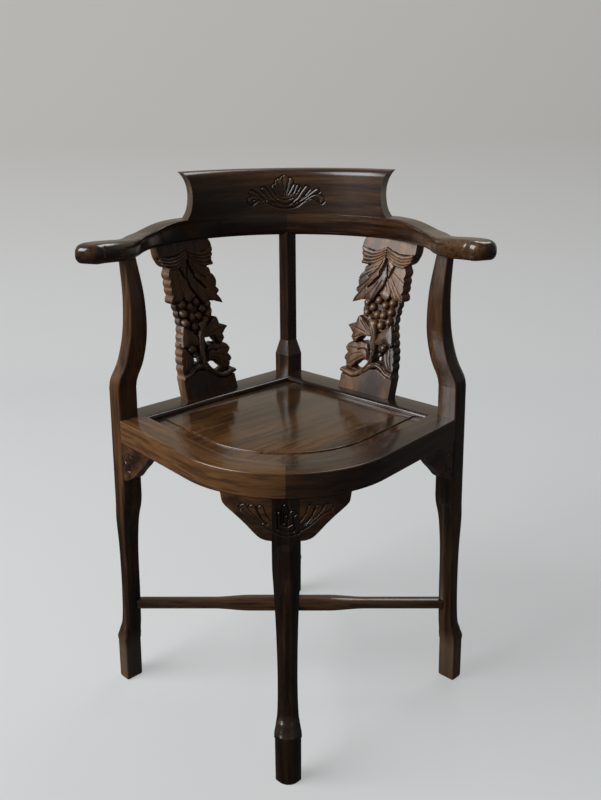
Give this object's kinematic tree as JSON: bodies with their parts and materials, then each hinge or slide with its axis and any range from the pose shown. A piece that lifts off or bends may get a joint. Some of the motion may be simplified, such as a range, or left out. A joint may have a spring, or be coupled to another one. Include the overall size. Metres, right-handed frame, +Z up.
{
  "type": "corner chair",
  "caption": "Carved rosewood corner chair with a horseshoe arm, raised crest, pierced vine splats, bow-fronted board seat and crossed stretchers.",
  "frame": {"origin": "on the floor, under the middle of the chair's bounding box", "axes": "+Z up, +X to the right of a viewer who faces the chair's front corner, -Y towards that viewer"},
  "size_m": [0.5926, 0.5391, 0.812],
  "materials": {
    "rosewood": "glossy lacquered dark rosewood",
    "seat_rosewood": "glossy lacquered rosewood board",
    "carved_rosewood": "satin carved rosewood",
    "plain_rosewood": "unlacquered rosewood"
  },
  "bodies": {
    "root": {"front_leg": "rosewood", "back_leg": "rosewood", "left_leg": "rosewood", "right_leg": "rosewood", "left_front_rail": "rosewood", "right_front_rail": "rosewood", "left_back_rail": "rosewood", "right_back_rail": "rosewood", "seat_panel": "seat_rosewood", "panel_battens": "plain_rosewood", "front_mitre_tongue": "plain_rosewood", "left_knee_bracket": "rosewood", "right_knee_bracket": "rosewood", "left_side_bracket": "rosewood", "right_side_bracket": "rosewood", "left_splat": "carved_rosewood", "right_splat": "carved_rosewood", "left_arm": "rosewood", "right_arm": "rosewood", "arm_joint_tongue": "plain_rosewood", "crest_rail": "rosewood", "crest_dowels": "plain_rosewood", "side_stretcher": "rosewood", "depth_stretcher": "rosewood"}
  },
  "joints": []
}
